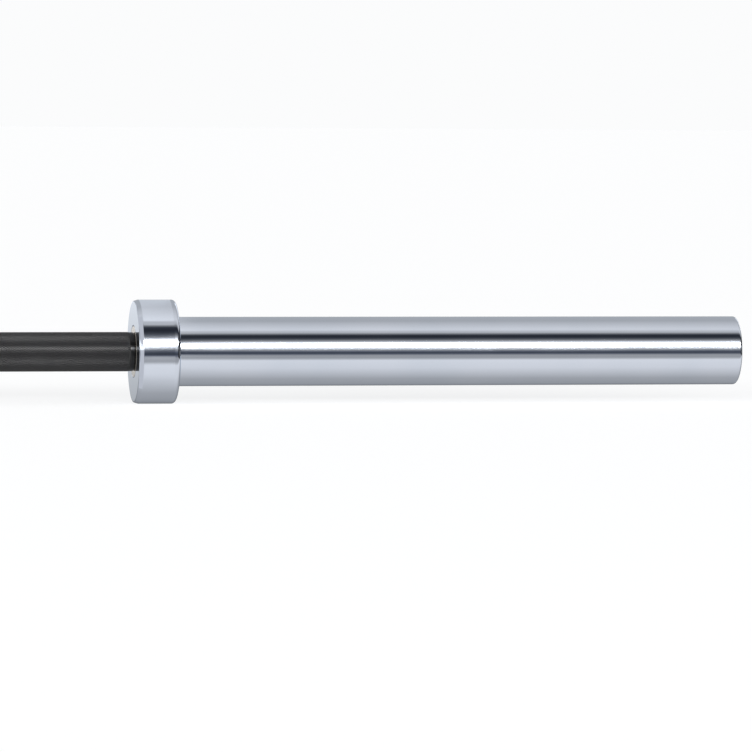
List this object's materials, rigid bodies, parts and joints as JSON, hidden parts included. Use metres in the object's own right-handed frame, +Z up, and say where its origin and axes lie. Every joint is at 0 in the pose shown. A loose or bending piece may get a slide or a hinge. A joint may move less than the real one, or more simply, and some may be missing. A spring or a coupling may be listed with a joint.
{
  "type": "olympic barbell",
  "caption": "Straight olympic barbell: dark knurled shaft with smooth middle and grip marks, carrying spinning chromed sleeves with stop collars on bronze bushings.",
  "frame": {"origin": "middle of the shaft's axis, which is the centre of the whole bar's box", "axes": "+X along the bar towards its right end, +Z up, -Y towards the viewer of the picture"},
  "size_m": [2.2, 0.075, 0.075],
  "materials": {
    "black_steel": "satin",
    "chrome": "polished",
    "bronze": "satin",
    "washer_steel": "satin",
    "spring_steel": "satin"
  },
  "bodies": {
    "shaft": {"shaft": "black_steel", "right_thrust_washer": "bronze", "right_steel_washer": "washer_steel", "right_shim": "washer_steel", "right_retaining_ring": "spring_steel", "left_thrust_washer": "bronze", "left_steel_washer": "washer_steel", "left_shim": "washer_steel", "left_retaining_ring": "spring_steel"},
    "right_sleeve": {"right_sleeve": "chrome", "right_collar": "chrome", "right_inner_bushing": "bronze", "right_outer_bushing": "bronze", "right_end_cap": "chrome", "right_snap_ring": "spring_steel"},
    "left_sleeve": {"left_sleeve": "chrome", "left_collar": "chrome", "left_inner_bushing": "bronze", "left_outer_bushing": "bronze", "left_end_cap": "chrome", "left_snap_ring": "spring_steel"}
  },
  "joints": [
    {"name": "right_sleeve_spin", "type": "hinge", "parent": "shaft", "child": "right_sleeve", "pos_m": [0.8, 0, 0], "axis": [1, 0, 0], "continuous": true},
    {"name": "left_sleeve_spin", "type": "hinge", "parent": "shaft", "child": "left_sleeve", "pos_m": [-0.8, 0, 0], "axis": [1, 0, 0], "continuous": true}
  ]
}
